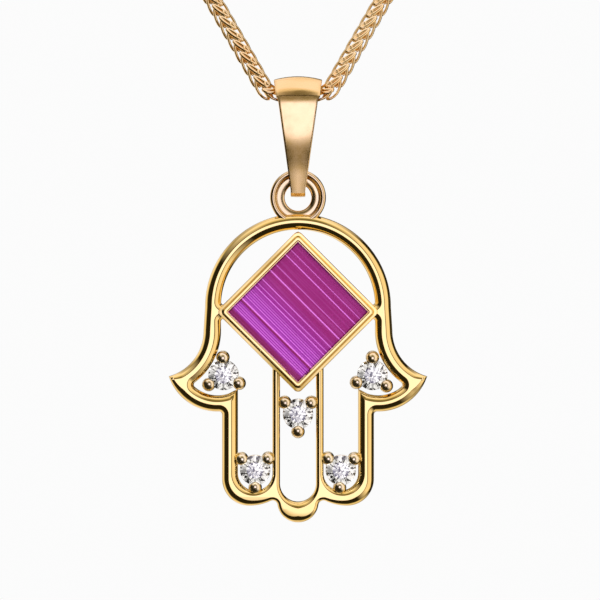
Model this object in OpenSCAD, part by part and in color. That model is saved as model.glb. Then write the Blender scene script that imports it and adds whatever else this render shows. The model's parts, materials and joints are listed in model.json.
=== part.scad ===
// Hamsa pendant on its chain.
// X is the wearer's left to right as seen from the front, Y points back and Z up.
// The origin is the centre of the neck that the chain goes round.

/* [Chain] */
// Length of the whole necklace, clasp included
chain_len = 450; // [400:1:600]
// Thickness of the woven chain
chain_d = 0.87; // [0.6:0.01:1.1]
// Radius of the chain's round stretch behind and beside the neck
neck_r = 54; // [45:1:60]
// Lean of the chain's plane, back from upright
chain_lean = 36; // [20:1:50]
// Radius of the chain's bend where it leaves the bail
chain_bend_r = 0.75; // [0.55:0.01:0.8]
// Distance from the bail's edge to the crossing of the strand's line and the level stretch
chain_shoulder = 0.3; // [0.28:0.01:0.6]

/* [Clasp] */
// Length of the barrel clasp
clasp_len = 7; // [5:0.1:10]
// Diameter of the clasp at its middle
clasp_d = 2.4; // [2:0.1:3.5]
// Depth of the socket for the chain's end
clasp_socket = 0.8; // [0.5:0.1:1.5]
// Radial play of the chain's end in its socket
clasp_play = 0.1; // [0.08:0.01:0.2]

/* [Bail] */
// Height of the bail
bail_h = 6.05; // [5.5:0.05:8]
// Width of the bail at its crest
bail_w = 2.42; // [2:0.01:3]
// Width of the cap's lower edge
bail_cap_w = 2.2; // [1.9:0.01:2.6]
// Width of the front strip just below the cap
bail_strip_w = 2.04; // [1.6:0.01:2.4]
// Width of the bail where it passes through the eye
bail_foot_w = 0.72; // [0.5:0.01:0.9]
// Thickness of the bail over the chain
bail_top_t = 0.39; // [0.3:0.01:0.6]
// Thickness of the front and back strips
bail_strip_t = 0.32; // [0.25:0.01:0.45]
// Thickness of the bail where it passes through the eye
bail_foot_t = 0.5; // [0.35:0.01:0.55]
// Rise of the outside across the bail's width at its crest
bail_crown = 0.17; // [0.05:0.01:0.2]
// Inside radius of the bend over the chain
bail_top_r = 0.8; // [0.6:0.01:1.2]
// Inside radius of the bend through the eye
bail_foot_r = 0.66; // [0.6:0.01:0.75]
// Space between the chain and the bail that rests on it
bail_play = 0.05; // [0.03:0.01:0.15]

/* [Eye] */
// Outer diameter of the eye
eye_d = 2.8; // [2.6:0.01:3.2]
// Diameter of the eye's hole
eye_hole_d = 1.34; // [1.3:0.01:1.6]
// Width of the raised round rim
eye_rim_w = 0.3; // [0.2:0.01:0.4]
// Thickness of the eye at its rim
eye_t = 0.9; // [0.7:0.01:1]
// Thickness of the eye at the edge of its hole
eye_edge_t = 0.34; // [0.25:0.01:0.4]
// Space between the eye and the bail that it hangs on
eye_play = 0.05; // [0.03:0.01:0.1]

/* [Hand] */
// Outer radius of the arch
arch_r = 4.65; // [4.4:0.01:5]
// Width of the band that draws the hand
band_w = 0.79; // [0.7:0.01:0.85]
// Thickness of the hand from back to front
hand_t = 1; // [0.9:0.01:1.4]
// Radius of the band's rounded front edges
edge_r = 0.34; // [0.2:0.01:0.35]
// Width of the bars beside the middle finger
bar_w = 0.38; // [0.34:0.01:0.5]
// Radius of the bars' rounded front edges
bar_edge_r = 0.17; // [0.1:0.01:0.17]
// Depth that the eye sinks into the arch
eye_sink = 0.58; // [0.5:0.01:0.7]

/* [Thumbs] */
// Drop from the arch's centre to where the sides turn outwards
waist_drop = 1.19; // [1:0.01:1.3]
// Outward lean of the sides between the arch and that turn
waist_lean = 0.075; // [0:0.005:0.1]
// Radius of the outer edge that sweeps out to the thumb's tip
thumb_r = 2.38; // [2.3:0.01:2.5]
// Radius of the outer edge under the thumb
heel_r = 2.56; // [2.5:0.01:2.65]
// Distance of the heel's centre from the middle
heel_x = 4.03; // [3.95:0.01:4.1]
// Drop from the arch's centre to the heel's centre
heel_drop = 2.69; // [2.6:0.01:2.75]

/* [Fingers] */
// Width of the hand across its outer fingers
fingers_w = 7.6; // [7.3:0.01:7.8]
// Drop from the arch's centre to the tips of the outer fingers
finger_drop = 9.96; // [9.5:0.01:11]
// Radius of the outer fingers' outer corners
finger_r = 1.35; // [1.2:0.01:1.45]
// Radius of the outer fingers' flat tips
tip_r = 2.5; // [2.3:0.01:2.8]
// Distance from the middle finger's tip to the level of the outer tips
mid_reach = 0.84; // [0.7:0.01:1]
// Radius of the middle finger's outer tip
mid_r = 1.03; // [0.95:0.01:1.1]
// Width of the opening in the middle finger
mid_open_w = 1.8; // [1.7:0.01:1.9]
// Metal below the opening in the middle finger
mid_foot = 1.04; // [0.8:0.01:1.1]
// Metal below the openings in the outer fingers
tip_foot = 0.755; // [0.6:0.01:0.85]

/* [Square] */
// Side of the striped panel
panel_w = 4.98; // [4.8:0.01:5.1]
// Width of the wall that frames the panel
wall_w = 0.39; // [0.3:0.01:0.45]
// Width of the raised rim along the wall's inside
rim_w = 0.2; // [0.14:0.01:0.25]
// Height of the rim over the hand's front
rim_h = 0.3; // [0.15:0.01:0.5]
// Height of the wall's outer step over the hand's front
step_h = 0.1; // [0.03:0.01:0.14]
// Thickness of the floor under the panel
floor_t = 0.35; // [0.25:0.01:0.5]
// Drop from the arch's centre to the square's centre
square_drop = 0.26; // [0.15:0.01:0.3]
// Height of the panel's face over the hand's front
panel_h = 0.16; // [0.05:0.01:0.25]
// Width of the panel's bevelled border
panel_bevel = 0.08; // [0.04:0.01:0.15]
// Gap round the panel
panel_gap = 0.02; // [0.01:0.005:0.05]

/* [Stones] */
// Diameter of the round stones
stone_d = 1.52; // [1.4:0.01:1.6]
// Height of the stones' tables over the hand's front
table_h = 0.1; // [0:0.01:0.2]
// Diameter of a prong's round head
prong_d = 0.58; // [0.5:0.01:0.6]
// Diameter of a prong at the back
prong_foot_d = 0.76; // [0.74:0.01:0.8]
// Distance of the prongs from the stone's centre
prong_ring_r = 0.885; // [0.88:0.005:0.92]
// Gap round a stone in its prongs
stone_gap = 0.015; // [0.01:0.005:0.03]
// Drop from the arch's centre to the thumbs' stones
thumb_stone_drop = 3.42; // [3.38:0.01:3.45]
// Distance of the thumbs' stones from the middle
thumb_stone_x = 3.73; // [3.7:0.01:3.76]
// Drop from the arch's centre to the middle stone
mid_stone_drop = 5.37; // [5.3:0.01:6]
// Depth that the lowest prong of a finger stone sits in the finger's metal
tip_prong_seat = 0.24; // [0.2:0.01:0.35]

/* [Hidden] */
gold = [0.86, 0.66, 0.32];
pale_gold = [0.9, 0.72, 0.42];
magenta = [0.66, 0.16, 0.55];
clear = [0.9, 0.92, 0.95];
$fn = 48;

// Chain's route in its own plane: x to the side, v down towards the pendant.
// The loop is the neck's circle with two straight strands that are tangent to it.
half_len = chain_len / 2;
function loop_len(d) = sqrt(d * d - neck_r * neck_r)
    + neck_r * (180 - acos(neck_r / d)) * PI / 180;
function solve_drop(d, n) = n == 0 ? d
    : solve_drop(d - (loop_len(d) - half_len) * d / sqrt(d * d - neck_r * neck_r), n - 1);
strands_drop = solve_drop(half_len * 0.6, 8);
strand_angle = asin(neck_r / strands_drop);
corner_x = bail_w / 2 + chain_shoulder;
level_v = strands_drop - corner_x / tan(strand_angle);
chain_r = chain_d / 2;

// The bend takes the chain from level to the strand's direction.
bend_turn = 90 - strand_angle;
bend_x = corner_x - chain_bend_r * tan(bend_turn / 2);
BEND_STEPS = 5;
STRAND_STEPS = 6;
NECK_STEPS = 20;
touch = neck_r * [cos(strand_angle), sin(strand_angle)];
bend_end = [bend_x + chain_bend_r * sin(bend_turn), level_v - chain_bend_r * (1 - cos(bend_turn))];
CHAIN_END_GAP = 0.015;
clasp_half_angle = asin((clasp_len / 2 - clasp_socket + CHAIN_END_GAP) / neck_r);
half_route = concat(
    [for (i = [0:BEND_STEPS]) let (a = bend_turn * i / BEND_STEPS)
        [bend_x + chain_bend_r * sin(a), level_v - chain_bend_r * (1 - cos(a))]],
    [for (i = [1:STRAND_STEPS - 1]) bend_end + (touch - bend_end) * i / STRAND_STEPS],
    [for (i = [0:NECK_STEPS]) let (a = strand_angle - (strand_angle + 90 - clasp_half_angle) * i / NECK_STEPS)
        neck_r * [cos(a), sin(a)]]);
last = len(half_route) - 1;
route = concat(
    [for (i = [last:-1:0]) [-half_route[i][0], half_route[i][1]]],
    half_route);

// Places of the pendant's pieces.
function in_plane(p) = [p[0], -p[1] * sin(chain_lean), -p[1] * cos(chain_lean)];
hang = in_plane([0, level_v]);
bail_top = chain_r + bail_play + bail_top_t;
bail_low = bail_top - bail_h;
foot_in = bail_low + bail_foot_t;
eye_r = eye_d / 2;
hole_r = eye_hole_d / 2;
eye_z = foot_in + eye_play - sqrt(pow(hole_r, 2) - pow(bail_foot_w / 2, 2));
arch_z = eye_z - eye_r - arch_r + eye_sink;
front = hand_t / 2;
// Step between the backs of the plate, the square's box and the prongs.
PROUD = 0.03;

// Plane geometry of the hand, with the arch's centre as origin.
function lerp(a, b, t) = a + (b - a) * t;
function unit(v) = v / norm(v);
function arc(c, r, a0, a1, n, open = 0) =
    [for (i = [0:n - open]) let (a = a0 + (a1 - a0) * i / n) c + r * [cos(a), sin(a)]];
function angle_of(v) = atan2(v[1], v[0]);
// Crossing of two circles, on the left or right of the line from the first to the second.
function meet(c1, r1, c2, r2, side) =
    let (d = norm(c2 - c1), u = (c2 - c1) / d, a = (r1 * r1 - r2 * r2 + d * d) / (2 * d),
         h = sqrt(r1 * r1 - a * a))
    c1 + a * u + side * h * [-u[1], u[0]];
function flip(pts) = [for (i = [len(pts) - 1:-1:0]) [-pts[i][0], pts[i][1]]];

side_x = arch_r - band_w;
waist = [-arch_r - waist_lean, -waist_drop];
thumb_c = waist - [thumb_r, 0];
heel_c = [-heel_x, -heel_drop];
finger_x = fingers_w / 2;
finger_in = finger_x - band_w;
bar_in = mid_open_w / 2;
bar_out = bar_in + bar_w;
finger_c = [-finger_x + finger_r, -finger_drop + finger_r];
tip_c = [-finger_x + finger_r, -finger_drop + tip_r];
mid_low = -finger_drop - mid_reach;
mid_c = [0, mid_low + mid_r];
NOTCH_R = 0.25;
HEEL_FILLET = 0.15;
POCKET_FILLET = 0.14;
CORNER_FILLET = 0.13;
thumb_tip = meet(thumb_c, thumb_r, heel_c, heel_r, -1);
heel_fillet_c = [-finger_x - HEEL_FILLET,
    heel_c[1] - sqrt(pow(heel_r + HEEL_FILLET, 2) - pow(heel_x - finger_x - HEEL_FILLET, 2))];
notch_c = meet(tip_c, tip_r + NOTCH_R, mid_c, mid_r + NOTCH_R, -1);

half_outline = concat(
    arc([0, 0], arch_r, 90, 180, 27),
    arc(thumb_c, thumb_r, 0, angle_of(thumb_tip - thumb_c), 12),
    arc(heel_c, heel_r, 360 + angle_of(thumb_tip - heel_c), 360 + angle_of(heel_fillet_c - heel_c), 10),
    arc(heel_fillet_c, HEEL_FILLET, angle_of(heel_c - heel_fillet_c), 0, 3),
    arc(finger_c, finger_r, 180, 270, 9, 1),
    arc(tip_c, tip_r, 270, 360 + angle_of(notch_c - tip_c), 4),
    arc(notch_c, NOTCH_R, angle_of(tip_c - notch_c), angle_of(mid_c - notch_c), 5),
    arc(mid_c, mid_r, 360 + angle_of(notch_c - mid_c), 270, 6));
function distinct(pts) = [for (i = [0:len(pts) - 1])
    if (norm(pts[i] - pts[(i + 1) % len(pts)]) > 0.002) pts[i]];
hand_outline = distinct(concat(half_outline, flip(half_outline)));

// The square's sides are the lines at half its width from its centre, turned by 45 degrees.
square_c = [0, -square_drop];
square_half = panel_w / 2 + panel_gap + wall_w;
COVER = 0.05;
window_half = square_half - COVER;
square_top = square_c + [0, sqrt(2) * window_half];
// Centre of a fillet inside a circle round the origin and outside the square's upper side.
function upper_fillet(r, f) = let (k = square_c[1] + sqrt(2) * (window_half + f))
    let (x = (-k - sqrt(2 * pow(r - f, 2) - k * k)) / 2) [x, k + x];
upper_c = upper_fillet(side_x, CORNER_FILLET);
half_upper = concat(
    arc([0, 0], side_x, 90, angle_of(upper_c), 24),
    arc(upper_c, CORNER_FILLET, angle_of(upper_c), 315, 5),
    [square_top]);
upper_window = distinct(concat(half_upper, flip(half_upper)));

inner_thumb_r = thumb_r + band_w + 0.08;
inner_heel_r = heel_r - band_w - 0.02;
pocket_c = meet(thumb_c, inner_thumb_r + POCKET_FILLET, heel_c, inner_heel_r - POCKET_FILLET, -1);
finger_corner = [-finger_in, heel_c[1] - sqrt(pow(inner_heel_r, 2) - pow(heel_x - finger_in, 2))];
end_r = (finger_in - bar_out) / 2;
end_c = [-finger_in + end_r, -finger_drop + tip_foot + end_r];
palm_c = [-side_x + CORNER_FILLET,
    square_c[1] - sqrt(2) * (window_half + CORNER_FILLET) + side_x - CORNER_FILLET];
bar_top_c = [-bar_out - CORNER_FILLET,
    square_c[1] - sqrt(2) * (window_half + CORNER_FILLET) + bar_out + CORNER_FILLET];
palm_window = distinct(concat(
    arc(palm_c, CORNER_FILLET, 45, 180, 6),
    arc(thumb_c, inner_thumb_r, 0, angle_of(pocket_c - thumb_c), 9),
    arc(pocket_c, POCKET_FILLET, angle_of(thumb_c - pocket_c), 360 + angle_of(pocket_c - heel_c), 5),
    arc(heel_c, inner_heel_r, 360 + angle_of(pocket_c - heel_c), 360 + angle_of(finger_corner - heel_c), 9),
    arc(end_c, end_r, 180, 360, 16),
    arc(bar_top_c, CORNER_FILLET, 0, 45, 3)));

mid_end_c = [0, mid_low + mid_foot + bar_in];
mid_top = square_c[1] - sqrt(2) * square_half + bar_in + COVER;
middle_window = concat(
    [[0, mid_top], [-bar_in, mid_top]],
    arc(mid_end_c, bar_in, 180, 360, 16),
    [[bar_in, mid_top]]);

// Rounding of the front edge at a distance from the middle: small on the bars, full on the band,
// and eased towards the thumbs' tips.
TIP_EASE = 0.5;
function edge_at(p) = lookup(abs(p[0]),
    [[0, edge_r], [bar_in, bar_edge_r], [bar_out, bar_edge_r], [finger_in, edge_r],
     [-thumb_tip[0] - TIP_EASE, edge_r], [-thumb_tip[0], edge_r / 2]]);
// Points of a closed outline, each moved to the left of its way round by its own distance.
function shifted(pts, by) = [for (i = [0:len(pts) - 1])
    let (n = len(pts), before = unit(pts[i] - pts[(i + n - 1) % n]), after = unit(pts[(i + 1) % n] - pts[i]),
         n1 = [-before[1], before[0]], n2 = [-after[1], after[0]])
    pts[i] + by[i] * (n1 + n2) / (1 + n1 * n2)];
// Rings of a plate from its back to its front, with a quarter round at the front edge.
EDGE_STEPS = 3;
function edge_rings(pts, way) = let (e = [for (p = pts) edge_at(p)]) concat(
    [[for (p = pts) [p[0], p[1], -front]]],
    [for (k = [0:EDGE_STEPS]) let (a = 90 * k / EDGE_STEPS, q = shifted(pts, way * (1 - cos(a)) * e))
        [for (i = [0:len(pts) - 1]) [q[i][0], q[i][1], front - e[i] * (1 - sin(a))]]]);

// The plate is one closed surface: a wall round the outline and round each opening, and the two
// faces between them, each cut into four simple polygons along short bridges from loop to loop.
LOOPS = [hand_outline, upper_window, palm_window, flip(palm_window), middle_window];
OUTLINE = 0;
UPPER = 1;
PALM_LEFT = 2;
PALM_RIGHT = 3;
MIDDLE = 4;
LEVELS = EDGE_STEPS + 2;
first = [for (k = [0:len(LOOPS)]) k == 0 ? 0
    : LEVELS * vec_sum([for (i = [0:k - 1]) len(LOOPS[i])])];
function vec_sum(v) = v * [for (x = v) 1];
function nearest(pts, p) = let (d = [for (q = pts) norm(q - p)]) search(min(d), d)[0];
// Points of a loop from one index to another, onwards or backwards.
function walk(loop, from, to, way) = let (n = len(LOOPS[loop]), count = ((to - from) * way % n + n) % n)
    [for (i = [0:count]) [loop, ((from + way * i) % n + n) % n]];
function spot(loop, p) = nearest(LOOPS[loop], p);

module hand_plate() {
    outer_top = spot(OUTLINE, [0, arch_r]);
    outer_low = spot(OUTLINE, [0, mid_low]);
    upper_top = spot(UPPER, [0, side_x]);
    upper_low = spot(UPPER, square_top);
    middle_top = spot(MIDDLE, [0, mid_top]);
    middle_low = spot(MIDDLE, [0, mid_low]);
    tip = [finger_c[0], -finger_drop];
    outer_tips = [for (s = [1, -1]) spot(OUTLINE, [s * tip[0], tip[1]])];
    palm_lows = [spot(PALM_LEFT, tip), spot(PALM_RIGHT, [-tip[0], tip[1]])];
    corner = [-side_x, square_c[1]];
    palm_tops = [spot(PALM_LEFT, corner), spot(PALM_RIGHT, [-corner[0], corner[1]])];
    upper_ends = [spot(UPPER, corner), spot(UPPER, [-corner[0], corner[1]])];
    cap = [
        concat(walk(OUTLINE, outer_top, outer_tips[0], 1),
            walk(PALM_LEFT, palm_lows[0], palm_tops[0], -1),
            walk(UPPER, upper_ends[0], upper_top, -1)),
        concat(walk(PALM_LEFT, palm_tops[0], palm_lows[0], -1),
            walk(OUTLINE, outer_tips[0], outer_low, 1),
            walk(MIDDLE, middle_low, middle_top, -1),
            walk(UPPER, upper_low, upper_ends[0], -1)),
        concat(walk(OUTLINE, outer_tips[1], outer_top, 1),
            walk(UPPER, upper_top, upper_ends[1], -1),
            walk(PALM_RIGHT, palm_tops[1], palm_lows[1], -1)),
        concat(walk(OUTLINE, outer_low, outer_tips[1], 1),
            walk(PALM_RIGHT, palm_lows[1], palm_tops[1], -1),
            walk(UPPER, upper_ends[1], upper_low, -1),
            walk(MIDDLE, middle_top, middle_low, -1))];
    function index(v, level) = first[v[0]] + level * len(LOOPS[v[0]]) + v[1];
    polyhedron(
        points = [for (l = [0:len(LOOPS) - 1]) each
            [for (r = edge_rings(LOOPS[l], l == OUTLINE ? 1 : -1)) each r]],
        faces = concat(
            [for (c = cap) [for (i = [len(c) - 1:-1:0]) index(c[i], LEVELS - 1)]],
            [for (c = cap) [for (v = c) index(v, 0)]],
            [for (l = [0:len(LOOPS) - 1]) let (n = len(LOOPS[l]))
                for (k = [0:LEVELS - 2]) for (i = [0:n - 1])
                    let (j = (i + 1) % n, low_i = index([l, i], k), low_j = index([l, j], k),
                         up_i = index([l, i], k + 1), up_j = index([l, j], k + 1))
                    each l == OUTLINE ? [[low_i, up_i, up_j], [low_i, up_j, low_j]]
                        : [[low_i, up_j, up_i], [low_i, low_j, up_j]]]),
        convexity = 8);
}

module round_square(w, r) {
    square([w, w - 2 * r], center = true);
    square([w - 2 * r, w], center = true);
    for (x = [-1, 1], y = [-1, 1]) translate([x, y] * (w / 2 - r)) circle(r);
}

// Place of the square's box and of all that lies in it, with the floor's face as the plane z = 0.
module in_square() {
    translate([0, -square_drop, -front + floor_t]) rotate(45) children();
}
SQUARE_CORNER = 0.2;
module square_box() in_square() {
    below = floor_t + PROUD;
    translate([0, 0, -below]) {
        linear_extrude(hand_t + PROUD + step_h) round_square(2 * square_half, SQUARE_CORNER);
        linear_extrude(hand_t + PROUD + rim_h)
            round_square(2 * (square_half - wall_w + rim_w), SQUARE_CORNER / 2);
    }
}
module panel_space() in_square() translate([0, 0, hand_t])
    cube([panel_w + 2 * panel_gap, panel_w + 2 * panel_gap, 2 * hand_t], center = true);

module eye() {
    rim_c = eye_r - eye_rim_w / 2;
    rim_z = eye_t / 2 - eye_rim_w / 2;
    slope_r = eye_r - eye_rim_w - 0.05;
    translate([0, arch_r + eye_r - eye_sink, 0]) rotate_extrude($fn = 52) {
        for (z = [-1, 1]) translate([rim_c, z * rim_z]) circle(eye_rim_w / 2, $fn = 16);
        translate([rim_c - eye_rim_w / 2, -rim_z]) square([eye_rim_w, 2 * rim_z]);
        polygon([[hole_r, -eye_edge_t / 2], [slope_r, -rim_z], [rim_c, -rim_z],
                 [rim_c, rim_z], [slope_r, rim_z], [hole_r, eye_edge_t / 2]]);
    }
}

// Proportions of a round brilliant, as shares of its radius.
TABLE = 0.57;
CROWN = 0.3;
GIRDLE = 0.06;
PAVILION = 0.86;
STAR_R = 0.763;
LOWER_R = 0.25;
stone_r = stone_d / 2;
girdle_z = front + table_h - CROWN * stone_r;

module brilliant() {
    star_z = CROWN * (1 - STAR_R * cos(22.5)) / (1 - TABLE);
    lower_z = -GIRDLE - PAVILION * (1 - LOWER_R * cos(22.5));
    table = [for (k = [0:7]) [TABLE * cos(45 * k), TABLE * sin(45 * k), CROWN]];
    star = [for (k = [0:7]) let (a = 45 * k + 22.5) [STAR_R * cos(a), STAR_R * sin(a), star_z]];
    top = [for (k = [0:15]) [cos(22.5 * k), sin(22.5 * k), 0]];
    base = [for (k = [0:15]) [cos(22.5 * k), sin(22.5 * k), -GIRDLE]];
    lower = [for (k = [0:7]) let (a = 45 * k + 22.5) [LOWER_R * cos(a), LOWER_R * sin(a), lower_z]];
    // First indices of the table, star, girdle and pavilion points, and the culet's index.
    s = 8;
    t = 16;
    b = 32;
    l = 48;
    c = 56;
    scale(stone_r) polyhedron(
        points = concat(table, star, top, base, lower, [[0, 0, -GIRDLE - PAVILION]]),
        faces = concat(
            [[for (k = [7:-1:0]) k]],
            [for (k = [0:7]) let (n = (k + 1) % 8, p = (k + 7) % 8, g = 2 * k) each [
                [k, n, s + k],
                [k, s + k, t + g], [k, t + g, s + p],
                [s + k, t + g + 1, t + g], [s + k, t + (g + 2) % 16, t + g + 1],
                [l + k, b + g, b + g + 1], [l + k, b + g + 1, b + (g + 2) % 16],
                [c, b + g, l + k], [c, l + p, b + g]]],
            [for (k = [0:15]) let (n = (k + 1) % 16) each [
                [t + k, t + n, b + n], [t + k, b + n, b + k]]]));
}

// Space that a stone takes out of its prongs.
module stone_space() {
    r = stone_r + stone_gap;
    rotate_extrude($fn = 32) polygon([
        [0, -(GIRDLE + PAVILION) * stone_r - stone_gap], [r, -GIRDLE * stone_r - stone_gap],
        [r, stone_gap], [TABLE * stone_r, CROWN * stone_r + stone_gap],
        [TABLE * stone_r, stone_r], [0, stone_r]]);
}

// Settings: centre, and the angles of the three prongs.
tip_stone_y = end_c[1] - end_r + prong_ring_r + prong_foot_d / 2 - tip_prong_seat;
tip_stone_x = (finger_in + bar_out) / 2;
SETTINGS = [
    [[-thumb_stone_x, -thumb_stone_drop], [92, 213, 332]],
    [[thumb_stone_x, -thumb_stone_drop], [90, 205, 322]],
    [[0, -mid_stone_drop], [139, 41, 270]],
    [[-tip_stone_x, tip_stone_y], [140, 42, 270]],
    [[tip_stone_x, tip_stone_y], [138, 40, 266]]];

GALLERY_T = 0.4;
module prong() {
    hull() {
        translate([0, 0, -front + PROUD]) cylinder(r = prong_foot_d / 2, h = 0.1, $fn = 16);
        translate([0, 0, girdle_z]) sphere(prong_d / 2, $fn = 16);
    }
}
module stone_head(angles) {
    difference() {
        union() {
            for (a = angles) rotate(a) translate([prong_ring_r, 0, 0]) prong();
            translate([0, 0, -front + PROUD]) cylinder(r = stone_r, h = GALLERY_T, $fn = 32);
        }
        translate([0, 0, girdle_z]) stone_space();
        cylinder(r = 0.5 * stone_r, h = 3 * hand_t, center = true, $fn = 32);
    }
}

module placed_hand() {
    translate(hang + [0, 0, arch_z]) rotate([90, 0, 0]) children();
}

module hand_frame() color(gold) placed_hand() difference() {
    union() {
        hand_plate();
        square_box();
        eye();
        for (s = SETTINGS) translate(s[0]) stone_head(s[1]);
    }
    panel_space();
}

module panel() color(magenta) placed_hand() in_square() translate([0, 0, panel_gap]) {
    full = hand_t + panel_h - floor_t - panel_gap;
    translate([-panel_w / 2, -panel_w / 2, 0]) cube([panel_w, panel_w, full - panel_bevel]);
    translate([0, 0, full - panel_bevel - 0.01])
        linear_extrude(panel_bevel + 0.01, scale = 1 - 2 * panel_bevel / panel_w)
            square(panel_w, center = true);
}

module stone(i) color(clear) placed_hand() translate(SETTINGS[i][0]) translate([0, 0, girdle_z]) brilliant();

// Bail: a strip bent round a closed loop, seen from the side as two round bends joined by straight runs.
top_in_z = chain_r + bail_play - bail_top_r;
foot_in_z = foot_in + bail_foot_r;
side_tilt = asin((bail_top_r - bail_foot_r) / (top_in_z - foot_in_z));
crease_z = top_in_z + 0.15;
strip_top_z = crease_z - 0.06;
// Widths and thicknesses from the crest down to the foot, by height.
crest_z = chain_r + bail_play;
bail_widths = [[foot_in, bail_foot_w], [foot_in + 0.5, bail_foot_w * 1.18],
    [strip_top_z, bail_strip_w], [crease_z, bail_cap_w], [crest_z, bail_w]];
bail_walls = [[foot_in, bail_foot_t], [foot_in_z + 0.3, bail_strip_t],
    [strip_top_z, bail_strip_t], [crease_z, bail_strip_t + 0.07], [crest_z, bail_top_t]];
bail_crowns = [[foot_in, 0.02], [foot_in_z, 0.05],
    [strip_top_z, 0.09], [crease_z, 0.12], [crest_z, bail_crown]];
FOOT_STEPS = 8;
CAP_HEIGHTS = [1, 0.9, 0.72, 0.5];
SIDE_HEIGHTS = [0, 0.3, 0.6, 0.86];
CROWN_STEPS = 4;
// Inside of the front half, from the crest to the foot: place, and direction of the outward normal.
front_in = concat(
    [for (z = concat([for (t = CAP_HEIGHTS) lerp(top_in_z, crest_z, t)], [crease_z, strip_top_z]))
        let (a = asin((z - top_in_z) / bail_top_r)) [[-bail_top_r * cos(a), z], a]],
    [for (t = SIDE_HEIGHTS) let (z = lerp(top_in_z, foot_in_z, t), w = lerp(bail_top_r, bail_foot_r, t))
        [[-w, z], -side_tilt * 0.5]],
    [for (i = [0:FOOT_STEPS - 1]) let (a = -90 * i / FOOT_STEPS)
        [[-bail_foot_r * cos(a), foot_in_z + bail_foot_r * sin(a)], a]]);
back_in = [for (i = [len(front_in) - 1:-1:1])
    [[-front_in[i][0][0], front_in[i][0][1]], 180 - front_in[i][1]]];
bail_in = concat(front_in, [[[0, foot_in], -90]], back_in);

module bail() color(gold) translate(hang) {
    sections = [for (s = bail_in)
        let (y = s[0][0], z = s[0][1], a = s[1], w = lookup(z, bail_widths) / 2,
             t = lookup(z, bail_walls), c = lookup(z, bail_crowns), out = [-cos(a), sin(a)])
        concat(
            [[-w + 0.04, y, z], [w - 0.04, y, z]],
            [for (k = [CROWN_STEPS:-1:-CROWN_STEPS]) let (x = k / CROWN_STEPS, d = t - c * x * x)
                [w * x, y + out[0] * d, z + out[1] * d]])];
    n = len(sections[0]);
    m = len(sections);
    polyhedron(
        points = [for (s = sections) each s],
        faces = [for (k = [0:m - 1]) let (j = (k + 1) % m) for (i = [0:n - 1]) each [
            [k * n + i, j * n + i, j * n + (i + 1) % n],
            [k * n + i, j * n + (i + 1) % n, k * n + (i + 1) % n]]],
        convexity = 6);
}

// Chain: a round tube of eight sides swept along the route.
SIDES = 8;
module chain() color(pale_gold) {
    n = len(route);
    rings = [for (i = [0:n - 1])
        let (p = route[i], way = unit(route[min(i + 1, n - 1)] - route[max(i - 1, 0)]),
             side = [-way[1], way[0]])
        [for (k = [0:SIDES - 1]) let (a = 360 * (k + 0.5) / SIDES,
              q = in_plane(p + chain_r * cos(a) * side))
            q + chain_r * sin(a) * [0, cos(chain_lean), -sin(chain_lean)]]];
    polyhedron(
        points = [for (r = rings) each r],
        faces = concat(
            [[for (k = [0:SIDES - 1]) k]],
            [for (i = [0:n - 2]) for (k = [0:SIDES - 1]) let (a = i * SIDES, j = (k + 1) % SIDES) each [
                [a + k, a + SIDES + k, a + SIDES + j], [a + k, a + SIDES + j, a + j]]],
            [[for (k = [SIDES - 1:-1:0]) (n - 1) * SIDES + k]]),
        convexity = 6);
}

// Clasp: a plain barrel with a socket at each end.
module clasp() color(gold) {
    socket_r = chain_r + clasp_play;
    lip_r = socket_r + 0.25;
    translate(in_plane([0, -neck_r * cos(clasp_half_angle)])) rotate([0, 90, 0]) difference() {
        rotate_extrude() polygon(concat(
            [[0, -clasp_len / 2], [lip_r, -clasp_len / 2]],
            [for (k = [1:11]) let (z = clasp_len * (k / 12 - 0.5))
                [lip_r + (clasp_d / 2 - lip_r) * sin(180 * k / 12), z]],
            [[lip_r, clasp_len / 2], [0, clasp_len / 2]]));
        for (s = [-1, 1]) translate([0, 0, s * clasp_len / 2])
            cylinder(r = socket_r, h = 2 * clasp_socket, center = true);
    }
}

chain();
clasp();
bail();
hand_frame();
panel();
stone(0);  // thumb_stone_left
stone(1);  // thumb_stone_right
stone(2);  // middle_stone
stone(3);  // finger_stone_left
stone(4);  // finger_stone_right
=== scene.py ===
"""Hamsa pendant on its woven chain, dressed for a studio picture."""
import json
import math
import bmesh
import bpy
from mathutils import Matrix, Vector
from mathutils.geometry import tessellate_polygon


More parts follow.
